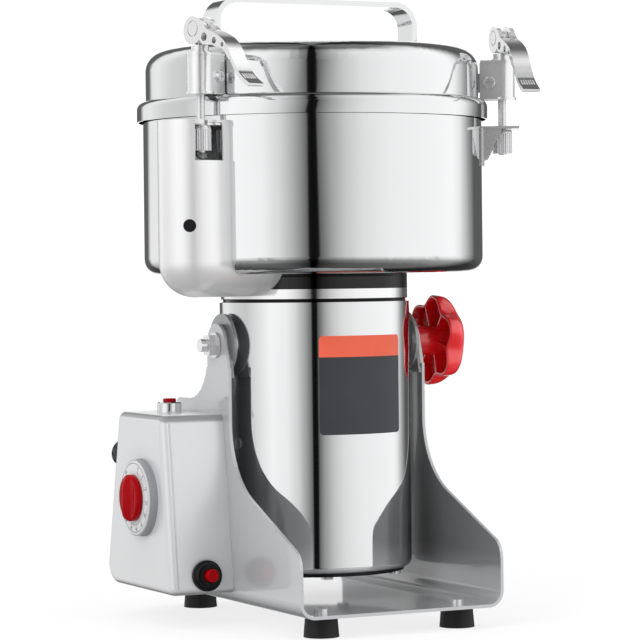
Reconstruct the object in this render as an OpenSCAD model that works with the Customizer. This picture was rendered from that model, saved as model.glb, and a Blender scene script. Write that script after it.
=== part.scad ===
// Swing-type electric grain mill: a lidded grinding bowl on a motor, tilting between the two arms of a U-shaped stand.
// Millimetres, +Z up, front (rating plate, open side of the stand) toward -Y, tilt axis along X.
// Inner coordinates are taken from the bowl's own axis; at_axis() puts that axis at its place in the part's frame.

/* [Bowl and lid] */
// Outside radius of the grinding bowl
bowl_r = 107.4; // [106.8:0.1:108]
// Height of the underside of the bowl above the floor
bowl_z0 = 217; // [216:0.5:218]
// Sheet thickness of the bowl
bowl_t = 1.5; // [1.2:0.1:2]
// Radius of the rounded bottom edge of the bowl
bowl_edge = 10; // [8:1:12]
// Outside radius of the lid wall
lid_r = 105.5; // [105:0.1:106]
// Height of the lid's top face
lid_z1 = 358; // [357:0.5:359]
// Radius of the lid's upper edge
lid_edge = 13; // [10:1:14]
// Outside radius of the lid's skirt
skirt_r = 111.2; // [110.8:0.1:111.6]
// Height of the top of the carrying handle
handle_z1 = 390; // [388:1:392]
// Overall length of the handle strap
handle_len = 142; // [136:1:146]
// Width of the handle strap
handle_w = 20; // [16:1:22]
// Thickness of the handle strap
handle_t = 3.5; // [3:0.5:4]

/* [Motor] */
// Outside radius of the motor housing
housing_r = 60.3; // [60:0.1:60.5]
// Height of the bottom edge of the housing
housing_z0 = 31.5; // [31:0.5:32.5]
// Height of the top edge of the housing
housing_z1 = 199.3; // [199:0.1:199.6]
// Radius of the neck between motor and bowl
neck_r = 59.3; // [58.8:0.1:59.6]
// Shaft radius
shaft_r = 5; // [4.6:0.1:5.4]

/* [Stand] */
// Height of the tilt axis above the floor
axis_z = 173; // [172.5:0.5:173.5]
// Distance from the middle to the outer face of each arm
arm_x = 69; // [68.8:0.1:69.4]
// Sheet thickness of the stand
sheet = 2; // [1.8:0.1:2.2]
// Front edge of the stand, measured toward the front
stand_front = 117; // [114:1:120]
// Back edge of the stand
stand_back = 97; // [94:1:100]
// Height of the rubber feet under the sheet
foot_h = 12.5; // [12:0.5:13]
// Radius of a rubber foot at the floor
foot_r = 10.8; // [10:0.2:12]
// Half the spacing of the feet across the stand
foot_x = 46.4; // [44:0.2:48]

/* [Control box] */
// Outer face of the box, measured from the middle
box_x1 = 110.5; // [109:0.5:112]
// Height of the box's top
box_z1 = 130.5; // [130:0.5:132]
// Height of the box's underside
box_z0 = 20; // [19:0.5:22]
// Wall thickness of the box
box_t = 2.5; // [2:0.5:3]
// Radius of the timer dial
dial_r = 24.3; // [23:0.1:25]
// Radius of the timer knob
knob_r = 14.6; // [14:0.1:15.5]
// Where the timer stands on the box (Y)
timer_y = 21.5; // [18:0.5:30]
// Height of the timer's axis
timer_z = 78.2; // [76:0.2:80]

/* [Clamps] */
// Radius on which the three clamp rods stand
rod_pcd = 120.4; // [120.2:0.1:120.6]
// Radius of a clamp rod
rod_r = 2.5; // [2.3:0.1:2.6]
// Height of the cam lever's pin
pin_z = 364.3; // [364.2:0.1:364.5]
// Width of the lever's blade
blade_w = 11.2; // [10:0.2:12]

/* [Output] */
// Which piece to draw

/* [Hidden] */
$fn = 64;
axis_at = [0.5, -7, 0];          // where the bowl's axis stands in the part's frame
clamp_a = [-150, -30, 90];         // direction of each clamp, about Z
clamp_yaw = [-15.3, -159.8, 0];          // how each lever is turned about its rod
clamp_top = 350;                   // top of the clamp blocks' cover plates
box_bolts = [[-4, 111], [50, 120], [62, 40]];   // where the control box is screwed to the arm (Y, Z)
twist = 4.5;                       // how far the lid turns to free its nuts
nut_r = 6.2;
tube_a = -155.3;                   // direction of the switch cover
tube_d = 114.4;                    // its distance from the bowl's axis
tube_r = 21.6;
tube_z = 225;                      // height at which the switch cover turns under the bowl
steel = [0.80, 0.81, 0.82];
polished = [0.86, 0.87, 0.88];
paint = [0.72, 0.73, 0.74];
black = [0.07, 0.07, 0.075];
dark = [0.16, 0.16, 0.17];
red = [0.78, 0.05, 0.06];
brass = [0.80, 0.62, 0.30];
copper = [0.72, 0.38, 0.18];
core = [0.42, 0.43, 0.45];

// ---- helpers ----
module at_axis() { translate(axis_at) children(); }
module along_x(x0, x1) { translate([x0, 0, 0]) rotate([90, 0, 90]) linear_extrude(x1 - x0) children(); }  // 2D x = Y, 2D y = Z
module along_y(y0, y1) { translate([0, y1, 0]) rotate([90, 0, 0]) linear_extrude(y1 - y0) children(); }   // 2D x = X, 2D y = Z
module rod_x(x0, x1, r, y = 0, z = 0) { translate([x0, y, z]) rotate([0, 90, 0]) cylinder(r = r, h = x1 - x0); }
module rod_y(y0, y1, r, x = 0, z = 0) { translate([x, y0, z]) rotate([-90, 0, 0]) cylinder(r = r, h = y1 - y0); }
module ring(z0, z1, r1, r0) { translate([0, 0, z0]) difference() { cylinder(r = r1, h = z1 - z0); translate([0, 0, -1]) cylinder(r = r0, h = z1 - z0 + 2); } }
module box(x0, x1, y0, y1, z0, z1) { translate([x0, y0, z0]) cube([x1 - x0, y1 - y0, z1 - z0]); }
module at_clamp(i) { rotate([0, 0, clamp_a[i]]) children(); }
function arc(cx, cy, r, a0, a1, n) = [for (k = [0:n]) let (a = a0 + (a1 - a0) * k / n) [cx + r * cos(a), cy + r * sin(a)]];

// ---- stand ----
// Front edge of an arm from the neck down to the foot of the stand (Y, Z)
front_edge = concat(
    [[-18.8, axis_z]],
    arc(-68.8, 125.5, 50, 0, -66.6, 10),
    arc(-stand_front + 12, 42.5, 12, 113.4, 180, 4),
    [[-stand_front, 10]]);
// Back edge of the left arm, with the shoulder that carries the control box
back_edge_left = concat(
    [[stand_back, 10], [stand_back, 50]],
    arc(56, 130.5, 8, 20, 90, 4),
    arc(41, 166.5, 28, 270, 180, 7),
    [[13, axis_z]]);
// Back edge of the right arm
back_edge_right = concat(
    [[stand_back, 10]],
    arc(stand_back - 12, 42.5, 12, 0, 66.6, 4),
    arc(63, 125.5, 50, 246.6, 180, 10),
    [[13, axis_z]]);

module u_section() {
    square_at = arm_x - 10;
    translate([-square_at, foot_h]) square([2 * square_at, sheet]);
    for (s = [-1, 1]) {
        intersection() {
            translate([s * square_at, foot_h + 10]) difference() { circle(r = 10); circle(r = 10 - sheet); }
            translate([s > 0 ? square_at : -arm_x, foot_h]) square([10, 10]);
        }
        translate([s > 0 ? arm_x - sheet : -arm_x, foot_h + 10]) square([sheet, axis_z - foot_h - 24]);
    }
}
module arm_head(s) {
    // recessed disc round the axis, with a raised pad from the nut down to the neck
    difference() {
        union() {
            rod_x(s > 0 ? 63 : -65, s > 0 ? 65 : -63, 19.6, 0, axis_z);
            along_x(s > 0 ? 65 : -arm_x, s > 0 ? arm_x : -65) {
                translate([0, axis_z]) circle(r = 13.4);
                polygon([[-13.3, axis_z + 1.5], [13.0, axis_z + 1.5], [13.0, axis_z - 20], [-18.8, axis_z - 20], [-16.5, axis_z - 9]]);
            }
        }
        rod_x(-80, 80, 6.5, 0, axis_z);
    }
}
module stand_frame() color(paint) at_axis() {
    difference() {
        union() {
            intersection() {
                along_y(-stand_front, stand_back) u_section();
                union() {
                    along_x(-arm_x - 1, 0) polygon(concat(front_edge, back_edge_left));
                    along_x(0, arm_x + 1) polygon(concat(front_edge, back_edge_right));
                }
            }
            for (s = [-1, 1]) arm_head(s);
        }
        for (x = [-1, 1], y = [-98.6, 78.7]) translate([x * foot_x, y, 0]) cylinder(r = 2.3, h = 30);
        // holes for the box screws and the leads
        for (p = box_bolts) rod_x(-arm_x - 1, -arm_x + 4, 2.2, p[0], p[1]);
        rod_x(-arm_x - 1, -arm_x + 4, 5, 20, 60);
    }
}
module rubber_feet() color(black) at_axis()
    for (x = [-1, 1], y = [-98.6, 78.7]) translate([x * foot_x, y, 0]) difference() {
        union() { cylinder(r1 = foot_r, r2 = foot_r - 0.9, h = foot_h - 2); translate([0, 0, foot_h - 2]) cylinder(r = foot_r - 0.9, h = 2); }
        translate([0, 0, -1]) cylinder(r = 4.6, h = 6);
        cylinder(r = 2.1, h = 20);
    }
module stand_screws() color(steel) at_axis() {
    // feet, screwed from above
    for (x = [-1, 1], y = [-98.6, 78.7]) translate([x * foot_x, y, 0]) {
        translate([0, 0, 5]) cylinder(r = 2, h = foot_h + sheet - 5);
        translate([0, 0, 3]) cylinder(r = 4.2, h = 2, $fn = 6);
        difference() {
            translate([0, 0, foot_h + sheet]) cylinder(r = 4.2, h = 2.2);
            translate([-2.6, -0.5, foot_h + sheet + 1.2]) cube([5.2, 1, 2]);
            translate([-0.5, -2.6, foot_h + sheet + 1.2]) cube([1, 5.2, 2]);
        }
    }
    // control box, screwed from inside the arm, with a nut in the box
    for (p = box_bolts) {
        rod_x(-arm_x - 9, -arm_x + sheet, 2, p[0], p[1]);
        rod_x(-arm_x + sheet, -arm_x + sheet + 2, 3.9, p[0], p[1]);
        difference() { rod_x(-arm_x - 9, -arm_x - 2.4, 4.6, p[0], p[1]); rod_x(-arm_x - 10, -arm_x - 1, 2, p[0], p[1]); }
    }
}
module trunnion_bushes() color([0.9, 0.9, 0.88]) at_axis()
    for (s = [-1, 1]) translate([0, 0, axis_z]) rotate([0, s * 90, 0]) difference() {
        union() { translate([0, 0, 62]) cylinder(r = 10, h = 1); translate([0, 0, 63]) cylinder(r = 6.5, h = arm_x - 63.2); }
        translate([0, 0, 60]) cylinder(r = 5.04, h = 12);
    }

// ---- control box ----
box_mid_y = 25;
function box_front(z) = -23.5 + 12.5 * (z - box_z0) / (131.5 - 20);
function box_back(z) = 83 - 22 * (z - box_z0) / (131.5 - 20);
module box_profile(o) {
    polygon(concat(
        arc(box_front(box_z0) + o + 5.2, box_z0 + o + 5, 5, 186, 270, 4),
        arc(box_back(box_z0) - 15.2, box_z0 + 14, 14 - o, 270, 349, 8),
        arc(box_back(box_z1) - o - 5.5, box_z1 - o - 6, 6, 11, 90, 4),
        arc(box_front(box_z1) + o + 6.8, box_z1 - o - 6, 6, 90, 174, 4)));
}
module control_box() color(paint) at_axis() difference() {
    along_x(-box_x1, -arm_x) box_profile(0);
    along_x(-box_x1 + box_t, -arm_x + 1) box_profile(box_t);
    rod_x(-box_x1 - 1, -box_x1 + 5, 6.2, timer_y, timer_z);              // timer bush
    translate([-87.3, box_front(31.6), 31.6]) rotate([90 - 6.4, 0, 0]) translate([0, 0, -6]) cylinder(r = 6.2, h = 12);   // reset breaker
    translate([-90, box_mid_y, box_z1 - 6]) cylinder(r = 6.1, h = 12);   // pushbutton
    gland_frame() translate([0, 0, -8]) cylinder(r = 6.6, h = 14);       // gland
}
module timer_body() color([0.62, 0.62, 0.60]) at_axis() difference() {
    union() {
        box(-106.5, -78, timer_y - 19, timer_y + 19, timer_z - 19, timer_z + 19);
        rod_x(-113.2, -106, 6, timer_y, timer_z);
        rod_x(-108, -106, 9, timer_y, timer_z);
    }
    rod_x(-115, -90, 3.05, timer_y, timer_z);
}
module timer_dial() color([0.85, 0.86, 0.87]) at_axis() difference() {
    union() {
        rod_x(-box_x1 - 1.6, -box_x1, dial_r, timer_y, timer_z);
        rod_x(-box_x1 - 5.2, -box_x1 - 1.6, dial_r - 0.5, timer_y, timer_z);
        rod_x(-box_x1 - 5.9, -box_x1 - 5.2, dial_r - 1.4, timer_y, timer_z);
    }
    rod_x(-box_x1 - 7, -box_x1 + 1, 6.1, timer_y, timer_z);
}
// Round knob with a low grip bar across its domed front
module timer_knob() color(red) at_axis() translate([-box_x1 - 6.3, timer_y, timer_z]) rotate([0, -90, 0]) {
    difference() {
        union() {
            cylinder(r = knob_r, h = 4);
            translate([0, 0, 4]) cylinder(r1 = knob_r, r2 = knob_r - 0.5, h = 0.9);
            translate([0, 0, 4.9]) cylinder(r1 = knob_r - 0.5, r2 = knob_r - 1.6, h = 0.8);
            intersection() {
                translate([0, 0, 5]) cylinder(r = knob_r - 1.4, h = 2.7);
                rotate([0, 0, 6]) translate([-20, 0, 5]) rotate([90, 0, 90]) linear_extrude(40) polygon([[-6, 0], [6, 0], [3.4, 2.1], [0, 2.6], [-3.4, 2.1]]);
            }
        }
        translate([0, 0, -1]) cylinder(r = 8, h = 4.2);
    }
    translate([0, 0, -24]) cylinder(r = 3, h = 28);
}
// Cable gland at the back, with no lead in it
gland_z = 100;
module gland_frame() translate([-97.5, box_back(gland_z), gland_z]) rotate([-90 + 11.2, 0, 0]) children();
module cord_gland() color(black) at_axis() gland_frame() difference() {
    union() {
        rotate([0, 0, 30]) cylinder(r = 9.9, h = 5, $fn = 6);
        translate([0, 0, 3]) cylinder(r = 8.2, h = 6);
        translate([0, 0, 7]) cylinder(r = 9.2, h = 7.5);
        translate([0, 0, 14.5]) cylinder(r1 = 9.2, r2 = 7.9, h = 2.4);
        translate([0, 0, 16.9]) cylinder(r1 = 7.9, r2 = 5.6, h = 2.1);
        translate([0, 0, -box_t - 4]) cylinder(r = 6.4, h = 7);
        translate([0, 0, -box_t - 3.4]) cylinder(r = 9.4, h = 2.4, $fn = 6);
    }
    translate([0, 0, -10]) cylinder(r = 3.6, h = 40);
    for (a = [0:30:330]) rotate([0, 0, a]) translate([8.8, -0.8, 7.6]) cube([1, 1.6, 6]);
}
module reset_frame() translate([-87.3, box_front(31.6), 31.6]) rotate([90 - 6.4, 0, 0]) children();
module breaker_body() color(black) at_axis() reset_frame() difference() {
    union() {
        translate([0, 0, 0.3]) cylinder(r = 9.6, h = 2.4);
        translate([0, 0, 2.7]) cylinder(r1 = 8.6, r2 = 7.4, h = 2.2);
        translate([0, 0, 0.3]) cylinder(r = 6.4, h = 6.7);
        translate([0, 0, -8]) cylinder(r = 5.9, h = 9);
        translate([-8, -5.5, -24]) cube([16, 18.5, 16]);
    }
    translate([0, 0, -10]) cylinder(r = 4.4, h = 30);
}
module reset_button() color(red) at_axis() reset_frame() {
    translate([0, 0, -4]) cylinder(r = 4, h = 14.6);
    translate([0, 0, 10.6]) cylinder(r1 = 4, r2 = 3.3, h = 0.7);
}
module button_bezel() color(polished) at_axis() translate([-90, box_mid_y, box_z1]) difference() {
    union() {
        cylinder(r = 7.6, h = 6.1);
        translate([0, 0, 6.1]) cylinder(r1 = 7.6, r2 = 6.8, h = 0.7);
        translate([0, 0, -12]) cylinder(r = 6, h = 13);
        translate([-9, -9, -26]) cube([18, 18, 14]);
    }
    translate([0, 0, -14]) cylinder(r = 4.4, h = 40);
}
module push_button() color(red) at_axis() translate([-90, box_mid_y, box_z1]) {
    translate([0, 0, -6]) cylinder(r = 4.1, h = 14.3);
    translate([0, 0, 8.3]) cylinder(r1 = 4.1, r2 = 3.5, h = 0.7);
}

// ---- motor unit ----
module motor_housing() color(polished) at_axis() difference() {
    union() {
        translate([0, 0, housing_z0 + 4]) cylinder(r = housing_r, h = housing_z1 - housing_z0 - 4);
        translate([0, 0, housing_z0]) cylinder(r = housing_r - 4, h = 8);
        translate([0, 0, housing_z0 + 4]) rotate_extrude() translate([housing_r - 4, 0]) circle(r = 4);
        for (s = [-1, 1]) rod_x(s > 0 ? 50 : -61.7, s > 0 ? 61.7 : -50, 12, 0, axis_z);
    }
    translate([0, 0, housing_z0 + 1.5]) cylinder(r = housing_r - 1.5, h = 200);
    translate([0, 0, housing_z0 - 1]) cylinder(r = 48, h = 10);
    rod_x(-80, 80, 5.02, 0, axis_z);
}
module motor_cap() color(black) at_axis() translate([0, 0, 0]) difference() {
    union() {
        translate([0, 0, housing_z0 - 2]) cylinder(r = 55.5, h = 2);
        translate([0, 0, housing_z0]) cylinder(r = 47.7, h = 4);
    }
    for (a = [0:30:330]) rotate([0, 0, a]) { translate([30, -2, 0]) cube([12, 4, 60]); translate([18, -1.6, 0]) cube([7, 3.2, 60]); }
    for (a = [45:90:315]) rotate([0, 0, a]) translate([51.6, 0, 0]) cylinder(r = 2.1, h = 60);
}
module cap_screws() color(steel) at_axis()
    for (a = [45:90:315]) rotate([0, 0, a]) translate([51.6, 0, 0]) {
        translate([0, 0, housing_z0 - 4]) cylinder(r = 3.9, h = 2);
        translate([0, 0, housing_z0 - 2]) cylinder(r = 2, h = 2);
    }
module stator_core() color(core) at_axis() difference() {
    ring(84, 140, 50, 30.6);
    for (a = [0, 180]) rotate([0, 0, a]) translate([0, 0, 80]) difference() {
        for (s = [-1, 1]) rotate([0, 0, s * 50]) translate([27, -6, 0]) cube([14, 12, 70]);
    }
    for (a = [45:90:315]) rotate([0, 0, a]) translate([46, 0, 80]) cylinder(r = 2.3, h = 70);
}
module field_coils() color(copper) at_axis()
    for (a = [0, 180]) rotate([0, 0, a]) for (z = [70, 141]) intersection() {
        ring(z, z + 13, 41, 31.2);
        rotate([0, 0, -58]) translate([0, 0, z - 1]) rotate_extrude(angle = 116) translate([20, 0]) square([30, 20]);
    }
module bearing_brackets() color([0.6, 0.61, 0.62]) at_axis() {
    difference() {
        union() {
            ring(178, 183, housing_r - 1.7, 11.2);
            ring(170, 183, 16, 11.2);
        }
        for (a = [22.5:45:360]) rotate([0, 0, a]) translate([38, 0, 160]) cylinder(r = 8, h = 40);
        for (a = [45:90:315]) rotate([0, 0, a]) translate([51, 0, 160]) cylinder(r = 2.4, h = 40);
    }
    difference() {
        union() {
            ring(46, 50, housing_r - 1.7, 9.7);
            ring(42, 54, 14, 9.7);
        }
        for (a = [22.5:45:360]) rotate([0, 0, a]) translate([38, 0, 40]) cylinder(r = 8, h = 20);
    }
}
module motor_bearings() color(steel) at_axis() {
    ring(172, 181, 11.15, shaft_r + 0.04);
    ring(44, 52, 9.65, shaft_r + 0.04);
}
module brush_holders() color(brass) at_axis()
    for (s = [-1, 1]) scale([1, 1, 1]) difference() {
        union() { box(s > 0 ? 17 : -42, s > 0 ? 42 : -17, -6, 6, 57, 67); box(s > 0 ? 26 : -34, s > 0 ? 34 : -26, -6, 6, 50, 58); }
        box(s > 0 ? 10 : -40, s > 0 ? 40 : -10, -4, 4, 58.5, 65.5);
    }
module carbon_brushes() color([0.1, 0.1, 0.1]) at_axis()
    for (s = [-1, 1]) box(s > 0 ? 14.6 : -32, s > 0 ? 32 : -14.6, -3.9, 3.9, 58.6, 65.4);
module trunnions() color(steel) at_axis() {
    // left stud with its washer and nut, right stub tapped for the lock knob
    rod_x(-arm_x - 0.2, -48, 5, 0, axis_z);
    rod_x(-80, -arm_x - 0.2, 4, 0, axis_z);
    difference() { rod_x(48, arm_x - 0.4, 5, 0, axis_z); rod_x(50, arm_x + 1, 3.55, 0, axis_z); }
    difference() {
        rod_x(-arm_x - 1.5, -arm_x - 0.3, 8, 0, axis_z);
        rod_x(-arm_x - 7, -arm_x + 1, 5.1, 0, axis_z);
    }
    difference() {
        translate([-arm_x - 6.3, 0, axis_z]) rotate([0, 90, 0]) rotate([0, 0, 30]) cylinder(r = 7.2, h = 4.8, $fn = 6);
        rod_x(-arm_x - 7, -arm_x + 1, 4.05, 0, axis_z);
    }
}
module rating_plate() color([0.30, 0.31, 0.33]) at_axis() intersection() {
    ring(117.6, 178.6, housing_r + 0.5, housing_r);
    translate([0, 0, 100]) rotate([0, 0, -90 - 23.9]) rotate_extrude(angle = 57) square([80, 100]);
}
module neck_collar() color(polished) at_axis() difference() {
    union() {
        ring(housing_z1, 201.2, neck_r - 1.2, 30);
        ring(201.2, bowl_z0, neck_r, 44);
        ring(201.2, 204.2, neck_r, 30);
    }
    translate([0, 0, 190]) cylinder(r = 40, h = 8);
}
module bowl_solid(o, z1) {
    r = bowl_r - o; z0 = bowl_z0 + o; e = bowl_edge - o;
    translate([0, 0, z0]) cylinder(r = r - e, h = z1 - z0);
    translate([0, 0, z0 + e]) cylinder(r = r, h = z1 - z0 - e);
    translate([0, 0, z0 + e]) rotate_extrude() translate([r - e, 0]) circle(r = e);
}
module grinding_bowl() color(polished) at_axis() difference() {
    union() {
        difference() { bowl_solid(0, 321); bowl_solid(bowl_t, 330); }
        ring(319.6, 321, bowl_r, 103.4);
        ring(bowl_z0, bowl_z0 + 8, 20, 8);
    }
    translate([0, 0, bowl_z0 - 2]) cylinder(r = 11, h = 20);
}
// Keyhole: the rod stands in the narrow end, the nut passes through the wide end once the lid is turned
module keyhole(z0, z1, c) {
    translate([rod_pcd, 0, z0]) cylinder(r = rod_r + c, h = z1 - z0);
    rotate_extrude(angle = twist) translate([rod_pcd - rod_r - c, z0]) square([2 * (rod_r + c), z1 - z0]);
    rotate([0, 0, twist]) translate([rod_pcd, 0, z0]) cylinder(r = nut_r + 0.2 + c, h = z1 - z0);
}
module gusset(y, t) translate([0, y + t, 0]) rotate([90, 0, 0]) linear_extrude(t)
    polygon([[bowl_r - 4, 307.5], [120, 307.5], [119.5, 304.5], [111, 288.5], [bowl_r - 4, 286]]);
module ear_bracket() difference() {
    union() {
        translate([bowl_r - 4, -11, 306.8]) cube([131 - bowl_r + 4, 33, 1.6]);
        rotate([0, 0, -6.2]) rotate_extrude(angle = 18.4) translate([bowl_r - 1, 283.5]) square([2.6, 24]);
        gusset(-10.6, 1.6);
        gusset(20, 1.6);
    }
    translate([0, 0, 200]) cylinder(r = bowl_r, h = 200);
    keyhole(300, 312, 0.4);
}
module ear_inside() difference() {
    intersection() {
        union() {
            translate([bowl_r - 4, -14, 306.8]) cube([131 - bowl_r + 4, 34, 1.6]);
            gusset(-10.6, 1.6);
        }
        rotate([0, 0, tube_a - clamp_a[0]]) translate([tube_d, 0, 280]) cylinder(r = tube_r - 1.7, h = 40);
    }
    translate([0, 0, 200]) cylinder(r = bowl_r, h = 200);
    keyhole(300, 312, 0.4);
}
module bowl_ears() color(steel) at_axis() for (i = [0:2]) at_clamp(i) if (i == 0) ear_inside(); else ear_bracket();
module shaft_seal() color(black) at_axis() difference() {
    union() { ring(bowl_z0 + 8, bowl_z0 + 12, 16, shaft_r + 0.08); ring(bowl_z0 + 1, bowl_z0 + 8, 7.9, shaft_r + 0.08); }
    translate([0, 0, 0]) cylinder(r = 1, h = 1);
}
// Rounded duct beside the bowl: a vertical tube that turns under the bowl toward the neck
module duct(r, top) {
    rotate([0, 0, tube_a]) {
        translate([tube_d, 0, tube_z]) cylinder(r = r, h = top - tube_z);
        translate([tube_d, 0, tube_z]) sphere(r = r);
        translate([40, 0, tube_z]) rotate([0, 90, 0]) cylinder(r = r, h = tube_d - 40);
        translate([60, -r, tube_z]) cube([tube_d - 60, 2 * r, top - tube_z]);
    }
}
module switch_cover() color(paint) at_axis() difference() {
    duct(tube_r, 310);
    difference() {
        duct(tube_r - 1.5, 308.6);
        cylinder(r = neck_r + 3, h = 210);
    }
    // clearance of the bowl, the neck and the bolted ear
    translate([0, 0, bowl_z0 + 0]) cylinder(r = bowl_r - bowl_edge, h = 200);
    translate([0, 0, bowl_z0 + bowl_edge]) cylinder(r = bowl_r, h = 200);
    translate([0, 0, bowl_z0 + bowl_edge]) rotate_extrude() translate([bowl_r - bowl_edge, 0]) circle(r = bowl_edge);
    translate([0, 0, 190]) cylinder(r = neck_r, h = 120);
    at_clamp(0) keyhole(300, 312, 0.9);
    // window in front of the nut, facing the front of the mill
    rotate([0, 0, tube_a]) translate([tube_d, 0, 0]) rotate([0, 0, -90 - tube_a]) box(8, 40, -7.7, 11.5, 285.5, 307.4);
    // plug hole
    rotate([0, 0, tube_a]) translate([tube_d, 0, 246.5]) rotate([0, 0, -tube_a - 90 - 31]) rotate([0, 90, 0]) cylinder(r = 3.9, h = 60);
}
module cover_plug() color(black) at_axis() rotate([0, 0, tube_a]) translate([tube_d, 0, 246.5]) rotate([0, 0, -tube_a - 90 - 31]) rotate([0, 90, 0]) {
    translate([0, 0, tube_r - 4]) cylinder(r = 3.85, h = 4);
}
module lid_switch() color(dark) at_axis() rotate([0, 0, tube_a]) {
    box(bowl_r + 0.2, bowl_r + 6.6, -10, 10, 262, 272);
    difference() { box(bowl_r + 0.2, bowl_r + 3, -4, 4, 250, 262); rod_x(bowl_r - 2, bowl_r + 5, 1.6, 0, 254); }
    box(bowl_r + 2.2, bowl_r + 4.6, 6, 8, 272, 274.5);
}

// ---- tilt lock knob ----
module star_2d(o) difference() {
    union() { circle(r = 25.4 - o); for (a = [0:60:300]) rotate(a + 12) translate([19.4, 0]) circle(r = 10.2 - o); }
    for (a = [0:60:300]) rotate(a + 42) translate([30.6, 0]) circle(r = 6.6 + o);
}
module tilt_knob() color(red) at_axis() translate([0, 0, axis_z]) rotate([0, 90, 0]) {
    difference() {
        union() {
            translate([0, 0, 83]) linear_extrude(11) star_2d(0);
            translate([0, 0, 94]) linear_extrude(1.6) star_2d(0.9);
            translate([0, 0, 95.6]) linear_extrude(1.4) star_2d(2.2);
            translate([0, 0, 97]) cylinder(r1 = 22, r2 = 20.4, h = 1.4);
        }
        translate([0, 0, 80]) linear_extrude(12.5) star_2d(3);
    }
    difference() { translate([0, 0, arm_x + 1.4]) cylinder(r = 9.5, h = 96 - arm_x - 1.4); translate([0, 0, arm_x]) cylinder(r = 3.5, h = 20); }
    translate([0, 0, arm_x + 0.2]) cylinder(r = 11, h = 1.2);
    translate([0, 0, 54]) cylinder(r = 3.5, h = 38);
}

// ---- spindle ----
module motor_shaft() color(steel) at_axis() translate([0, 0, 38]) cylinder(r = shaft_r, h = 252 - 38);
module armature_core() color(core) at_axis() difference() {
    ring(84, 140, 29.8, shaft_r);
    for (a = [0:30:330]) rotate([0, 0, a]) translate([25.5, -1.6, 80]) cube([8, 3.2, 70]);
}
module commutator() color(copper) at_axis() { ring(56, 70, 14.2, shaft_r); ring(70, 74, 16.5, shaft_r); }
module cooling_fan() color(dark) at_axis() {
    ring(151, 167, 9, shaft_r);
    ring(155, 156.6, 26, 9);
    for (a = [0:30:330]) rotate([0, 0, a]) translate([11, -0.8, 156.6]) cube([36, 1.6, 10]);
}
module blade_arm(l, w, tip) {
    difference() {
        linear_extrude(2.5) polygon([[-l, -w * 0.35], [-l + tip, -w / 2], [-9, -w / 2], [9, -w / 2], [l - tip, -w / 2], [l, -w * 0.35], [l, w * 0.1], [l - tip, w / 2], [9, w / 2], [-9, w / 2], [-l + tip, w / 2], [-l, w * 0.1]]);
        translate([0, 0, -1]) cylinder(r = shaft_r, h = 5);
    }
}
module lower_blade() color(polished) at_axis() translate([0, 0, 231]) rotate([0, 0, 20]) blade_arm(99, 26, 14);
module upper_blade() color(polished) at_axis() translate([0, 0, 245.5]) rotate([0, 0, 110]) blade_arm(84, 24, 12);
module blade_spacers() color(steel) at_axis() { ring(229.2, 231, 9.5, shaft_r); ring(233.5, 245.5, 9, shaft_r); }
module blade_nut() color(steel) at_axis() difference() {
    union() { translate([0, 0, 248]) cylinder(r = 10, h = 1.4); translate([0, 0, 249.4]) cylinder(r = 9.5, h = 7.6, $fn = 6); translate([0, 0, 257]) cylinder(r1 = 8.2, r2 = 5, h = 3); }
    translate([0, 0, 240]) cylinder(r = shaft_r, h = 12.2);
}

// ---- lid ----
module lid_profile(o) {
    r = lid_r - o; e = lid_edge - o; s = skirt_r - o;
    translate([0, 313.2 - o]) square([r, lid_z1 - 313.2 - e]);
    translate([0, 313.2 - o]) square([r - e, lid_z1 - 313.2]);
    translate([r - e, lid_z1 - o - e]) circle(r = e);
    translate([0, 313.2 - o]) square([s, 321 - 313.2 + o]);
    translate([skirt_r - 5, 321]) circle(r = 5 - o);
    translate([0, 321]) square([skirt_r - 5, 5 - o]);
}
module lid_shell() color(polished) at_axis() {
    difference() {
        rotate_extrude($fn = 96) intersection() { lid_profile(0); translate([0, 300]) square([200, 100]); }
        rotate_extrude($fn = 96) intersection() { union() { lid_profile(1.2); translate([0, 311]) square([skirt_r - 1.2, 4]); } translate([0, 300]) square([200, 100]); }
        for (s = [-1, 1], y = [-5, 5]) translate([s * 61, y, 340]) cylinder(r = 2.05, h = 30);
    }
    // lugs that carry the clamp blocks
    for (i = [0:2]) at_clamp(i) difference() {
        union() { translate([lid_r - 3, -3, 330]) cube([10, 6, 12]); rod_y(-3, 3, 5, 112.5, 336); }
        cylinder(r = lid_r - 0.6, h = 400);
        rod_y(-10, 10, 2.1, 112.5, 336);
    }
}
module lid_liner() color(steel) at_axis() { translate([0, 0, 327]) cylinder(r = 104.2, h = 1); ring(316, 327.5, 102.6, 101.6); }
module lid_gasket() color([0.86, 0.86, 0.84]) at_axis() ring(321.4, 324.8, 106.2, 104.35);
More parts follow.
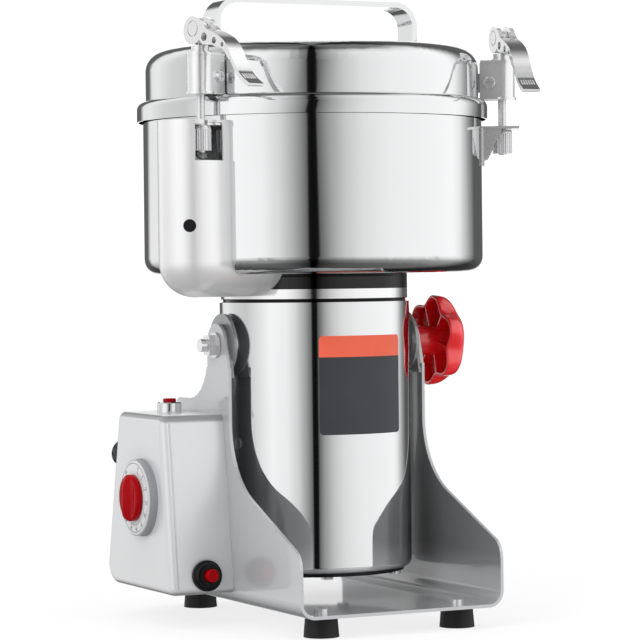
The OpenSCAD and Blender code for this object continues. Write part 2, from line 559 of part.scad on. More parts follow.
module lid_handle() color(polished) at_axis() difference() {
    h2 = handle_len / 2; r1 = 15.5; r0 = r1 - handle_t;
    union() {
        intersection() {
            along_y(-handle_w / 2, handle_w / 2) difference() {
                union() {
                    translate([-h2, lid_z1]) square([handle_len, handle_z1 - lid_z1 - r1]);
                    translate([-h2 + r1, lid_z1]) square([handle_len - 2 * r1, handle_z1 - lid_z1]);
                    for (s = [-1, 1]) translate([s * (h2 - r1), handle_z1 - r1]) circle(r = r1);
                }
                translate([-h2 + handle_t, lid_z1 - 1]) square([handle_len - 2 * handle_t, handle_z1 - lid_z1 - r1 + 1]);
                translate([-h2 + r1, lid_z1 - 1]) square([handle_len - 2 * r1, handle_z1 - lid_z1 - handle_t + 1]);
                for (s = [-1, 1]) translate([s * (h2 - r1), handle_z1 - r1]) circle(r = r0);
            }
            box(-h2 - 1, h2 + 1, -20, 20, lid_z1, handle_z1 + 1);
        }
        for (s = [-1, 1]) box(s > 0 ? h2 - 19 : -h2 + 2, s > 0 ? h2 - 2 : -h2 + 19, -handle_w / 2, handle_w / 2, lid_z1, lid_z1 + 2.5);
    }
    for (s = [-1, 1], y = [-5, 5]) translate([s * 61, y, lid_z1 - 2]) cylinder(r = 2.05, h = 8);
}
module lid_screws() color(steel) at_axis() {
    for (s = [-1, 1], y = [-5, 5]) translate([s * 61, y, 0]) {
        translate([0, 0, lid_z1 - 4]) cylinder(r = 2, h = 6.5);
        difference() {
            translate([0, 0, lid_z1 + 2.5]) cylinder(r1 = 3.9, r2 = 3, h = 2.2);
            translate([-2, -0.4, lid_z1 + 3.9]) cube([4, 0.8, 2]);
        }
        difference() { translate([0, 0, lid_z1 - 4.4]) cylinder(r = 3.9, h = 3.2, $fn = 6); translate([0, 0, lid_z1 - 5]) cylinder(r = 2, h = 6); }
    }
    for (i = [0:2]) at_clamp(i) {
        rod_y(-8, 8, 2, 112.5, 336);
        for (s = [-1, 1]) translate([112.5, s * 8, 336]) rotate([s > 0 ? -90 : 90, 0, 0]) difference() {
            cylinder(r1 = 3.9, r2 = 3.1, h = 2.2);
            translate([-2, -0.4, 1.4]) cube([4, 0.8, 2]);
            translate([-0.4, -2, 1.4]) cube([0.8, 4, 2]);
        }
    }
}
// Block that guides the rod, with a plate above and below
module clamp_blocks() color(polished) at_axis() for (i = [0:2]) at_clamp(i) difference() {
    union() {
        translate([106.4, -8, 326.8]) cube([rod_pcd - 106.4, 16, 21.7]);
        translate([rod_pcd, 0, 326.8]) cylinder(r = 8, h = 21.7);
        translate([106.8, -8.4, 348.5]) cube([rod_pcd - 106.8, 16.8, 1.5]);
        translate([rod_pcd, 0, 348.5]) cylinder(r = 8.4, h = 1.5);
        translate([106.4, -8.4, 325.3]) cube([rod_pcd - 106.4, 16.8, 1.5]);
        translate([rod_pcd, 0, 325.3]) cylinder(r = 8.8, h = 1.5);
    }
    translate([100, -3.1, 320]) cube([117.6 - 100, 6.2, 28.5]);
    translate([rod_pcd, 0, 320]) cylinder(r = rod_r + 0.1, h = 40);
    rod_y(-10, 10, 2.1, 112.5, 336);
    // clearance of the lid's shoulder
    translate([0, 0, 320]) cylinder(r = lid_r + 0.3, h = 40);
    translate([0, 0, 321]) rotate_extrude($fn = 96) translate([skirt_r - 5, 0]) circle(r = 5.2);
}
module clamp_collar(i) color(polished) at_axis() at_clamp(i) translate([rod_pcd, 0, clamp_top]) difference() {
    union() { cylinder(r = 5.4, h = 4.3); cylinder(r = 6.6, h = 1); }
    translate([0, 0, -1]) cylinder(r = rod_r + 0.1, h = 8);
}
module collar_a() clamp_collar(0);
module collar_b() clamp_collar(1);
module collar_c() clamp_collar(2);
module lever_frame(i) at_clamp(i) translate([rod_pcd, 0, pin_z]) rotate([0, 0, clamp_yaw[i]]) children();  // local Y = the way the lever points
module clamp_rod(i) lever_frame(i) difference() {
    union() {
        rotate([0, 90, 0]) translate([0, 0, -2.6]) cylinder(r = 4.6, h = 5.2);
        translate([0, 0, 290.4 - pin_z]) cylinder(r = rod_r, h = pin_z - 290.4 - 1.2);
    }
    rotate([0, 90, 0]) translate([0, 0, -5]) cylinder(r = 2.04, h = 10);
}
// Cam lever: two eccentric cheeks and a curved blade (local Y, Z profile, pin at 0,0)
cam_r = 8.5;
cam_c = [-0.3, -1.0];
// Smooth curve through a list of points
function between(p0, p1, p2, p3, t) = 0.5 * (2 * p1 + (p2 - p0) * t + (2 * p0 - 5 * p1 + 4 * p2 - p3) * t * t + (3 * p1 - p0 - 3 * p2 + p3) * t * t * t);
function smooth(p, n) = let (m = len(p) - 1) concat(
    [for (k = [0:m - 1], j = [0:n - 1]) between(p[max(k - 1, 0)], p[k], p[k + 1], p[min(k + 2, m)], j / n)], [p[m]]);
blade_top = [[13.2, -1.0], [22.2, -4.7], [28.6, -8.4], [33.2, -13.6], [37.2, -20.3], [42.0, -27.2], [46.6, -31.6], [51.2, -34.5]];
blade_low = [[50.4, -37.0], [45.6, -34.0], [40.4, -28.9], [35.4, -21.6], [31.4, -15.2], [27.2, -10.6], [21.2, -7.1], [12.4, -3.6]];
module lever_profile_cheek() {
    translate(cam_c) circle(r = cam_r);
    polygon(concat([[0, -3], [2.5, 7.0]], smooth([[5.5, 6.0], [8.4, 4.2], [10.4, 1.6], [13.6, -1.2], [22.2, -5.2], [29.0, -9.6], [33.6, -15.4], [35.6, -19.6]], 2),
        smooth([[34.0, -20.6], [32.0, -18.7], [30.0, -15.6], [26.0, -13.0], [21.6, -12.2], [18.0, -10.8], [12.6, -10.3], [8.8, -9.6], [5.9, -6.9]], 2)));
}
module lever_profile_blade() {
    polygon(concat(smooth(blade_top, 4), [[52.4, -35.4], [52.2, -36.6]], smooth(blade_low, 4)));
}
module cam_lever(i) lever_frame(i) {
    difference() {
        union() {
            for (s = [-1, 1]) along_x(s > 0 ? 2.9 : -5.5, s > 0 ? 5.5 : -2.9) lever_profile_cheek();
            along_x(-blade_w / 2, blade_w / 2) lever_profile_blade();
        }
        rod_x(-12, 12, 2, 0, 0);
        for (s = [-1, 1]) rod_x(s > 0 ? 5 : -6, s > 0 ? 6 : -5, 4.9, 0, 0);
        for (p = [[10.7, -5.6, 2.6], [20.1, -8.3, 2.0], [27.7, -11.2, 1.4]]) rod_x(-12, 12, p[2], p[0], p[1]);
    }
    rod_x(-5.6, 5.6, 2, 0, 0);
    for (s = [-1, 1]) rod_x(s > 0 ? 5 : -5.6, s > 0 ? 5.6 : -5, 4.2, 0, 0);
}
module clamp_nut(i) at_clamp(i) translate([rod_pcd, 0, 291.4]) difference() {
    union() { cylinder(r = nut_r, h = 13.4); translate([0, 0, 13.4]) cylinder(r1 = nut_r, r2 = nut_r - 0.8, h = 1.6); }
    translate([0, 0, -1]) cylinder(r = rod_r + 0.05, h = 20);
    for (a = [0:15:345]) rotate([0, 0, a]) translate([nut_r, 0, -1]) rotate([0, 0, 45]) cube([0.7, 0.7, 14], center = false);
}
module rod_a() color(steel) at_axis() clamp_rod(0);
module rod_b() color(steel) at_axis() clamp_rod(1);
module rod_c() color(steel) at_axis() clamp_rod(2);
module lever_a() color(polished) at_axis() cam_lever(0);
module lever_b() color(polished) at_axis() cam_lever(1);
module lever_c() color(polished) at_axis() cam_lever(2);
module nut_a() color(steel) at_axis() clamp_nut(0);
module nut_b() color(steel) at_axis() clamp_nut(1);
module nut_c() color(steel) at_axis() clamp_nut(2);

stand_frame();
rubber_feet();
stand_screws();
trunnion_bushes();
control_box();
timer_body();
timer_dial();
cord_gland();
breaker_body();
button_bezel();
timer_knob();
reset_button();
push_button();
motor_housing();
motor_cap();
cap_screws();
stator_core();
field_coils();
bearing_brackets();
motor_bearings();
brush_holders();
carbon_brushes();
trunnions();
rating_plate();
neck_collar();
grinding_bowl();
bowl_ears();
shaft_seal();
switch_cover();
cover_plug();
lid_switch();
tilt_knob();
motor_shaft();
armature_core();
commutator();
cooling_fan();
lower_blade();
upper_blade();
blade_spacers();
blade_nut();
lid_shell();
lid_liner();
lid_gasket();
lid_handle();
lid_screws();
clamp_blocks();
collar_a();
collar_b();
collar_c();
rod_a();
rod_b();
rod_c();
lever_a();
lever_b();
lever_c();
nut_a();
nut_b();
nut_c();
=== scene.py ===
import bpy, bmesh, math
from mathutils import Vector, Matrix


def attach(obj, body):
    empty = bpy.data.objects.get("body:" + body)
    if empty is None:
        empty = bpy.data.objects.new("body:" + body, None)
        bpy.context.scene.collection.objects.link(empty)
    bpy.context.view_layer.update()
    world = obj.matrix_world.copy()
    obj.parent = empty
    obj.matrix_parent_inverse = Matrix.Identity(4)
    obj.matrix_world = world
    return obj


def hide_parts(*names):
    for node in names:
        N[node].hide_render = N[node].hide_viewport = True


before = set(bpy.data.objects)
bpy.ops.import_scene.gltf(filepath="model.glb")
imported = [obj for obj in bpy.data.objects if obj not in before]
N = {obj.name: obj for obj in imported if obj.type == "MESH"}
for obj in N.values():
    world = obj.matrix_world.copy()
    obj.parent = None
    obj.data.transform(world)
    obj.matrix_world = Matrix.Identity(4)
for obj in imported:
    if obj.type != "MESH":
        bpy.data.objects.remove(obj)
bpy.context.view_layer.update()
AX = (0.0005, -0.007)            # where the bowl's axis stands in the row frame


def mm(x, y, z):
    """A point in millimetres from the bowl's axis, in the row frame in metres."""
    return Vector((x / 1000 + AX[0], y / 1000 + AX[1], z / 1000))


# ------------------------------------------------------------------ camera
psi, pitch, roll, cxs = math.radians(26.328), 0.018, -0.011, -0.002
D, CZ, FPX = 1.7938, 0.2197, 2822.55
cam_pos = Vector((-math.sin(psi) * D + AX[0], -math.cos(psi) * D + AX[1], CZ))
fwd = Vector((math.sin(psi) * math.cos(pitch), math.cos(psi) * math.cos(pitch), -math.sin(pitch)))
right = Vector((math.cos(psi), -math.sin(psi), 0))
turn = Matrix.Rotation(cxs, 3, 'Z')
fwd, right = turn @ fwd, turn @ right
up = right.cross(fwd)
r2 = math.cos(roll) * right + math.sin(roll) * up
u2 = -math.sin(roll) * right + math.cos(roll) * up
cd = bpy.data.cameras.new("camera")
cd.sensor_fit = 'HORIZONTAL'
cd.sensor_width = 36
cd.lens = FPX * 36 / 640
cd.clip_start, cd.clip_end = 0.05, 50
cam = bpy.data.objects.new("camera", cd)
bpy.context.scene.collection.objects.link(cam)
cam.matrix_world = Matrix.Translation(cam_pos) @ Matrix((r2, u2, -fwd)).transposed().to_4x4()
bpy.context.scene.camera = cam


# ------------------------------------------------------------------ materials
def new_mat(name):
    m = bpy.data.materials.new(name)
    m.use_nodes = True
    nt = m.node_tree
    b = nt.nodes["Principled BSDF"]
    return m, nt, b


def node(nt, kind, **k):
    n = nt.nodes.new(kind)
    for a, v in k.items():
        if a.startswith("in_"):
            n.inputs[a[3:].replace("_", " ")].default_value = v
        else:
            setattr(n, a, v)
    return n


def coords(nt, scale=(1, 1, 1)):
    tc = node(nt, "ShaderNodeTexCoord")
    mp = node(nt, "ShaderNodeMapping")
    mp.inputs["Scale"].default_value = scale
    nt.links.new(tc.outputs["Object"], mp.inputs["Vector"])
    return mp.outputs["Vector"]


def ramp(nt, fac, stops):
    r = node(nt, "ShaderNodeValToRGB")
    r.color_ramp.elements[0].position, r.color_ramp.elements[0].color = stops[0][0], (*stops[0][1], 1)
    r.color_ramp.elements[1].position, r.color_ramp.elements[1].color = stops[-1][0], (*stops[-1][1], 1)
    for p, c in stops[1:-1]:
        e = r.color_ramp.elements.new(p)
        e.color = (*c, 1)
    nt.links.new(fac, r.inputs["Fac"])
    return r.outputs["Color"]


def rng(nt, fac, lo, hi):
    r = node(nt, "ShaderNodeMapRange")
    r.inputs["To Min"].default_value = lo
    r.inputs["To Max"].default_value = hi
    nt.links.new(fac, r.inputs["Value"])
    return r.outputs["Result"]


def bump(nt, b, height, strength, dist, chain=None):
    n = node(nt, "ShaderNodeBump")
    n.inputs["Strength"].default_value = strength
    n.inputs["Distance"].default_value = dist
    nt.links.new(height, n.inputs["Height"])
    if chain is not None:
        nt.links.new(chain, n.inputs["Normal"])
    nt.links.new(n.outputs["Normal"], b.inputs["Normal"])
    return n.outputs["Normal"]


def steel_mat(name, base, rough_lo, rough_hi, scale, grain=0.0, dist=0.00002, metallic=1.0):
    """Polished or satin stainless: colour and roughness drift softly, with fine polishing lines."""
    m, nt, b = new_mat(name)
    b.inputs["Metallic"].default_value = metallic
    v = coords(nt, scale)
    fine = node(nt, "ShaderNodeTexNoise", in_Scale=1.0, in_Detail=6.0, in_Roughness=0.6)
    nt.links.new(v, fine.inputs["Vector"])
    big = node(nt, "ShaderNodeTexNoise", in_Scale=9.0, in_Detail=3.0)
    nt.links.new(coords(nt), big.inputs["Vector"])
    c = ramp(nt, big.outputs["Fac"], [(0.3, tuple(x * 0.965 for x in base)), (0.7, base)])
    nt.links.new(c, b.inputs["Base Color"])
    mx = node(nt, "ShaderNodeMix", data_type='FLOAT')
    mx.inputs["Factor"].default_value = 0.5
    nt.links.new(fine.outputs["Fac"], mx.inputs["A"])
    nt.links.new(big.outputs["Fac"], mx.inputs["B"])
    nt.links.new(rng(nt, mx.outputs["Result"], rough_lo, rough_hi), b.inputs["Roughness"])
    if grain:
        bump(nt, b, fine.outputs["Fac"], grain, dist)
    return m


def paint_mat(name, base, rough=0.3, orange=0.05, metallic=0.3, inner_painted_shade=0.0, coat=1.0, coat_rough=0.06, edge=0.0):
    """Sprayed silver-grey enamel under clear lacquer: slight orange peel and fine fleck, with painted shade on the
    inner faces of the arms, a painted dark reflection on upward-tilted edges and painted shade on downward faces.
    """
    m, nt, b = new_mat(name)
    v = coords(nt)
    peel = node(nt, "ShaderNodeTexNoise", in_Scale=320.0, in_Detail=2.0)
    nt.links.new(v, peel.inputs["Vector"])
    fleck = node(nt, "ShaderNodeTexVoronoi", in_Scale=3200.0)
    nt.links.new(v, fleck.inputs["Vector"])
    big = node(nt, "ShaderNodeTexNoise", in_Scale=7.0, in_Detail=4.0)
    nt.links.new(v, big.inputs["Vector"])
    c1 = ramp(nt, fleck.outputs["Distance"], [(0.15, tuple(min(1, x * 1.05) for x in base)), (0.6, tuple(x * 0.97 for x in base))])
    c2 = ramp(nt, big.outputs["Fac"], [(0.3, (0.96, 0.96, 0.965)), (0.7, (1, 1, 1))])
    mx = node(nt, "ShaderNodeMix", data_type='RGBA', blend_type='MULTIPLY')
    mx.inputs["Factor"].default_value = 1.0
    nt.links.new(c1, mx.inputs["A"])
    nt.links.new(c2, mx.inputs["B"])
    out = mx.outputs["Result"]
    # painted shade: the inner faces of the arms above the base plate are mixed toward near-black
    if inner_painted_shade:
        sp = node(nt, "ShaderNodeSeparateXYZ")
        nt.links.new(v, sp.inputs["Vector"])
        off = node(nt, "ShaderNodeMath", operation='SUBTRACT')
        nt.links.new(sp.outputs["X"], off.inputs[0])
        off.inputs[1].default_value = AX[0]
        ab = node(nt, "ShaderNodeMath", operation='ABSOLUTE')
        nt.links.new(off.outputs[0], ab.inputs[0])
        up_ = ramp_of(nt, ab.outputs[0], 0.0600, 0.0660, 0.06704, 0.0672)
        hi = ramp_of(nt, sp.outputs["Z"], 0.018, 0.045, 2.0, 2.1)
        k = node(nt, "ShaderNodeMath", operation='MULTIPLY')
        nt.links.new(up_, k.inputs[0])
        nt.links.new(hi, k.inputs[1])
        k2 = node(nt, "ShaderNodeMath", operation='MULTIPLY')
        nt.links.new(k.outputs[0], k2.inputs[0])
        k2.inputs[1].default_value = inner_painted_shade
        m2 = node(nt, "ShaderNodeMix", data_type='RGBA')
        nt.links.new(k2.outputs[0], m2.inputs["Factor"])
        nt.links.new(out, m2.inputs["A"])
        m2.inputs["B"].default_value = (0.115, 0.117, 0.121, 1)
        out = m2.outputs["Result"]
    if edge:
        # painted dark reflection on faces tilted upward (the rounded top edges) and painted shade on faces pointing
        # down, both darkening the colour by the normal's Z
        ge = node(nt, "ShaderNodeNewGeometry")
        se = node(nt, "ShaderNodeSeparateXYZ")
        nt.links.new(ge.outputs["Normal"], se.inputs["Vector"])
        up = ramp_of(nt, se.outputs["Z"], 0.18, 0.36, 0.86, 0.97)
        dn = ramp_of(nt, se.outputs["Z"], -1.2, -1.1, -0.75, -0.35)
        ad = node(nt, "ShaderNodeMath", operation='ADD')
        nt.links.new(up, ad.inputs[0])
        nt.links.new(dn, ad.inputs[1])
        ml = node(nt, "ShaderNodeMath", operation='MULTIPLY')
        nt.links.new(ad.outputs[0], ml.inputs[0])
        ml.inputs[1].default_value = edge
        m3 = node(nt, "ShaderNodeMix", data_type='RGBA')
        nt.links.new(ml.outputs[0], m3.inputs["Factor"])
        nt.links.new(out, m3.inputs["A"])
        m3.inputs["B"].default_value = (0.12, 0.122, 0.125, 1)
        out = m3.outputs["Result"]
    nt.links.new(out, b.inputs["Base Color"])
    b.inputs["Metallic"].default_value = metallic
    nt.links.new(rng(nt, big.outputs["Fac"], rough - 0.03, rough + 0.05), b.inputs["Roughness"])
    b.inputs["Coat Weight"].default_value = coat
    b.inputs["Coat Roughness"].default_value = coat_rough
    bump(nt, b, peel.outputs["Fac"], orange, 0.00005)
    return m


def ramp_of(nt, value, a0, a1, b0, b1):
    """1 between a1 and b0, falling to 0 at a0 and b1."""
    x = node(nt, "ShaderNodeMapRange")
    x.inputs["From Min"].default_value, x.inputs["From Max"].default_value = a0, a1
    nt.links.new(value, x.inputs["Value"])
    y = node(nt, "ShaderNodeMapRange")
    y.inputs["From Min"].default_value, y.inputs["From Max"].default_value = b1, b0
    nt.links.new(value, y.inputs["Value"])
    k = node(nt, "ShaderNodeMath", operation='MULTIPLY')
    nt.links.new(x.outputs["Result"], k.inputs[0])
    nt.links.new(y.outputs["Result"], k.inputs[1])
    return k.outputs[0]


def plastic_mat(name, base, rough=0.25, grain=0.08, gscale=900.0, coat=0.0, sss=0.0, spec=0.5):
    """Moulded plastic or rubber: fine surface grain and a soft drift in colour and gloss."""
    m, nt, b = new_mat(name)
    v = coords(nt)
    g = node(nt, "ShaderNodeTexNoise", in_Scale=gscale, in_Detail=3.0)
    nt.links.new(v, g.inputs["Vector"])
    big = node(nt, "ShaderNodeTexNoise", in_Scale=30.0, in_Detail=3.0)
    nt.links.new(v, big.inputs["Vector"])
    c = ramp(nt, big.outputs["Fac"], [(0.3, tuple(x * 0.9 for x in base)), (0.7, tuple(min(1, x * 1.06) for x in base))])
    nt.links.new(c, b.inputs["Base Color"])
    nt.links.new(rng(nt, big.outputs["Fac"], rough - 0.04, rough + 0.06), b.inputs["Roughness"])
    b.inputs["Specular IOR Level"].default_value = spec
    if coat:
        b.inputs["Coat Weight"].default_value = coat
        b.inputs["Coat Roughness"].default_value = 0.08
    if sss:
        b.inputs["Subsurface Weight"].default_value = sss
        b.inputs["Subsurface Radius"].default_value = (0.003, 0.0006, 0.0005)
    bump(nt, b, g.outputs["Fac"], grain, 0.00008)
    return m


M = {
    # polished sheet: polishing lines run round the axis, so they are stretched in X and Y and fine in Z
    "mirror": steel_mat("mirror_steel", (0.83, 0.835, 0.84), 0.035, 0.075, (3, 3, 900), 0.02, 0.00001),
    "polished": steel_mat("polished_castings", (0.86, 0.86, 0.865), 0.12, 0.22, (160, 160, 160), 0.05, 0.00006, 0.72),
    "cover": steel_mat("satin_sheet", (0.86, 0.86, 0.865), 0.26, 0.34, (3, 3, 600), 0.02, 0.00001, 0.55),
    "steel": steel_mat("satin_steel", (0.62, 0.62, 0.625), 0.2, 0.34, (60, 60, 700), 0.08, 0.00003),
    "zinc": steel_mat("plated_steel", (0.82, 0.82, 0.83), 0.12, 0.24, (300, 300, 300), 0.06, 0.00003, 0.7),
    # grey_paint: the inner faces of the arms get painted shade
    "paint": paint_mat("grey_paint", (0.50, 0.505, 0.515), inner_painted_shade=0.80),
    # light_grey_paint: painted dark reflection on upward-tilted edges and painted shade on downward faces
    "box": paint_mat("light_grey_paint", (0.68, 0.683, 0.69), 0.32, coat=0.3, coat_rough=0.3, edge=0.62),
    "rubber": plastic_mat("black_rubber", (0.010, 0.010, 0.011), 0.5, 0.25, 700.0, 0.0, 0.0, 0.3),
    "black": plastic_mat("black_plastic", (0.006, 0.006, 0.007), 0.32, 0.12, 900.0, 0.0, 0.0, 0.25),
    "fan": plastic_mat("dark_plastic", (0.045, 0.045, 0.05), 0.4, 0.15, 700.0),
    "red": plastic_mat("red_plastic", (0.30, 0.0005, 0.003), 0.22, 0.04, 240.0, 0.06, 0.0, 0.06),
    "red_gloss": plastic_mat("gloss_red_plastic", (0.86, 0.005, 0.010), 0.24, 0.03, 240.0, 1.0, 0.0, 0.8),
    "dial": plastic_mat("dial_plastic", (0.62, 0.63, 0.64), 0.35, 0.06, 900.0, 0.0, 0.0, 0.3),
    "grey": plastic_mat("grey_plastic", (0.45, 0.46, 0.46), 0.4, 0.12, 700.0),
    "nylon": plastic_mat("nylon", (0.78, 0.77, 0.74), 0.4, 0.1, 500.0, 0, 0.1),
    "silicone": plastic_mat("silicone", (0.74, 0.74, 0.72), 0.45, 0.1, 500.0, 0, 0.15),
    "brass": steel_mat("brass", (0.78, 0.56, 0.22), 0.18, 0.32, (200, 200, 200), 0.06),
    "copper": steel_mat("copper", (0.75, 0.33, 0.16), 0.22, 0.36, (40, 40, 900), 0.12, 0.00006),
    "core": steel_mat("laminations", (0.30, 0.31, 0.33), 0.35, 0.5, (20, 20, 1800), 0.4, 0.0001),
    "cast": steel_mat("die_casting", (0.55, 0.555, 0.56), 0.35, 0.5, (500, 500, 500), 0.25, 0.0001),
    "carbon": plastic_mat("carbon", (0.03, 0.03, 0.032), 0.5, 0.3, 1200.0),
}


def label_mat():
    """Bare rating film: an orange-red header band over dark grey."""
    m, nt, b = new_mat("label_film")
    tc = node(nt, "ShaderNodeTexCoord")
    sep = node(nt, "ShaderNodeSeparateXYZ")
    nt.links.new(tc.outputs["Object"], sep.inputs["Vector"])
    mr = node(nt, "ShaderNodeMapRange")
    mr.inputs["From Min"].default_value = 0.1176
    mr.inputs["From Max"].default_value = 0.1786
    nt.links.new(sep.outputs["Z"], mr.inputs["Value"])
    r = node(nt, "ShaderNodeValToRGB")
    r.color_ramp.interpolation = 'CONSTANT'
    e = r.color_ramp.elements
    e[0].position, e[0].color = 0.0, (0.040, 0.042, 0.047, 1)
    e[1].position, e[1].color = 0.785, (0.80, 0.125, 0.065, 1)
    nt.links.new(mr.outputs["Result"], r.inputs["Fac"])
    n1 = node(nt, "ShaderNodeTexNoise", in_Scale=60.0, in_Detail=4.0)
    nt.links.new(tc.outputs["Object"], n1.inputs["Vector"])
    mx = node(nt, "ShaderNodeMix", data_type='RGBA', blend_type='MULTIPLY')
    mx.inputs["Factor"].default_value = 1.0
    nt.links.new(r.outputs["Color"], mx.inputs["A"])
    nt.links.new(ramp(nt, n1.outputs["Fac"], [(0.3, (0.9, 0.9, 0.9)), (0.7, (1, 1, 1))]), mx.inputs["B"])
    nt.links.new(mx.outputs["Result"], b.inputs["Base Color"])
    nt.links.new(rng(nt, n1.outputs["Fac"], 0.3, 0.42), b.inputs["Roughness"])
    b.inputs["Specular IOR Level"].default_value = 0.3
    n2 = node(nt, "ShaderNodeTexNoise", in_Scale=900.0, in_Detail=2.0)
    nt.links.new(tc.outputs["Object"], n2.inputs["Vector"])
    bump(nt, b, n2.outputs["Fac"], 0.06, 0.00005)
    return m


M["label"] = label_mat()


def tint(m, build):
    """Multiplies a material's base colour by a grey factor that build makes from its nodes."""
    nt = m.node_tree
    b = nt.nodes["Principled BSDF"]
    old = b.inputs["Base Color"].links[0].from_socket
    mx = node(nt, "ShaderNodeMix", data_type='RGBA', blend_type='MULTIPLY')
    mx.inputs["Factor"].default_value = 1.0
    nt.links.new(old, mx.inputs["A"])
    nt.links.new(build(nt), mx.inputs["B"])
    nt.links.new(mx.outputs["Result"], b.inputs["Base Color"])
    return m


def dial_rings(nt):
    # distance from the timer's axis: the printed face keeps its colour, a fine dark line at the step is painted shade,
    # the rim keeps its colour, and the side wall is darkened as painted shade
    tc = node(nt, "ShaderNodeTexCoord")
    sub = node(nt, "ShaderNodeVectorMath", operation='SUBTRACT')
    nt.links.new(tc.outputs["Object"], sub.inputs[0])
    sub.inputs[1].default_value = (0, 0.0215 + AX[1], 0.0782)
    mul = node(nt, "ShaderNodeVectorMath", operation='MULTIPLY')
    nt.links.new(sub.outputs[0], mul.inputs[0])
    mul.inputs[1].default_value = (0, 1, 1)
    ln = node(nt, "ShaderNodeVectorMath", operation='LENGTH')
    nt.links.new(mul.outputs[0], ln.inputs[0])
    mr = node(nt, "ShaderNodeMapRange")
    mr.inputs["From Max"].default_value = 0.030
    nt.links.new(ln.outputs["Value"], mr.inputs["Value"])
    g = 24.3 / 30.0
    return ramp(nt, mr.outputs["Result"], [(0.0, (1, 1, 1)), (g - 0.105, (1, 1, 1)), (g - 0.095, (0.35, 0.35, 0.35)), (g - 0.085, (0.35, 0.35, 0.35)), (g - 0.075, (1, 1, 1)),
                                          (g - 0.045, (1, 1, 1)), (g - 0.022, (0.45, 0.45, 0.46)), (1.0, (0.40, 0.40, 0.41))])


def lever_tone(nt):
    # painted dark reflection: the upward-facing faces of the lever strap are darkened over its bend and under the thumb
    # ridges
    tc = node(nt, "ShaderNodeTexCoord")
    p_ = node(nt, "ShaderNodeSeparateXYZ")
    nt.links.new(tc.outputs["Object"], p_.inputs["Vector"])
    n_ = node(nt, "ShaderNodeSeparateXYZ")
    nt.links.new(tc.outputs["Normal"], n_.inputs["Vector"])
    bend = ramp_of(nt, p_.outputs["Z"], 0.3505, 0.3545, 0.3610, 0.3650)
    tip = ramp_of(nt, p_.outputs["Z"], 0.3250, 0.3262, 0.3362, 0.3370)
    upn = ramp_of(nt, n_.outputs["Z"], 0.10, 0.30, 2.0, 2.1)
    ad = node(nt, "ShaderNodeMath", operation='ADD')
    nt.links.new(bend, ad.inputs[0])
    nt.links.new(tip, ad.inputs[1])
    ml = node(nt, "ShaderNodeMath", operation='MULTIPLY', use_clamp=True)
    nt.links.new(ad.outputs[0], ml.inputs[0])
    nt.links.new(upn, ml.inputs[1])
    return ramp(nt, ml.outputs[0], [(0.0, (1, 1, 1)), (1.0, (0.30, 0.30, 0.305))])


M["dial"] = tint(M["dial"], dial_rings)
M["lever"] = tint(steel_mat("lever_steel_painted_reflection", (0.88, 0.88, 0.885), 0.10, 0.18, (160, 160, 160), 0.05, 0.00006, 0.72), lever_tone)


def neck_mat():
    """Turned neck with painted bands: painted shadow in the gap under the bowl, a painted dark reflection band, a
    painted highlight ring and painted shade in the gap over the housing.
    """
    m = steel_mat("turned_neck_painted_bands", (0.80, 0.80, 0.805), 0.06, 0.12, (3, 3, 900), 0.02, 0.00001)
    nt = m.node_tree
    b = nt.nodes["Principled BSDF"]
    tc = node(nt, "ShaderNodeTexCoord")
    sep = node(nt, "ShaderNodeSeparateXYZ")
    nt.links.new(tc.outputs["Object"], sep.inputs["Vector"])
    mr = node(nt, "ShaderNodeMapRange")
    mr.inputs["From Min"].default_value, mr.inputs["From Max"].default_value = 0.199, 0.217
    nt.links.new(sep.outputs["Z"], mr.inputs["Value"])
    old = b.inputs["Base Color"].links[0].from_socket
    r = node(nt, "ShaderNodeValToRGB")
    r.color_ramp.interpolation = 'CONSTANT'
    e = r.color_ramp.elements
    # from the bottom up: painted shade in the gap over the housing, a painted highlight ring brighter than the steel, a
    # painted dark reflection band, painted shadow in the gap under the bowl
    stops = [(0.0, 0.02), (0.14, 1.12), (0.47, 0.045), (0.885, 0.015)]
    e[0].position, e[0].color = stops[0][0], (*[stops[0][1]] * 3, 1)
    e[1].position, e[1].color = stops[-1][0], (*[stops[-1][1]] * 3, 1)
    for q, c in stops[1:-1]:
        x = e.new(q)
        x.color = (c, c, c, 1)
    nt.links.new(mr.outputs["Result"], r.inputs["Fac"])
    mx = node(nt, "ShaderNodeMix", data_type='RGBA', blend_type='MULTIPLY')
    mx.inputs["Factor"].default_value = 1.0
    nt.links.new(old, mx.inputs["A"])
    nt.links.new(r.outputs["Color"], mx.inputs["B"])
    nt.links.new(mx.outputs["Result"], b.inputs["Base Color"])
    return m


M["neck"] = neck_mat()
M["ink"] = plastic_mat("dial_ink", (0.05, 0.05, 0.055), 0.5, 0.05, 600.0)

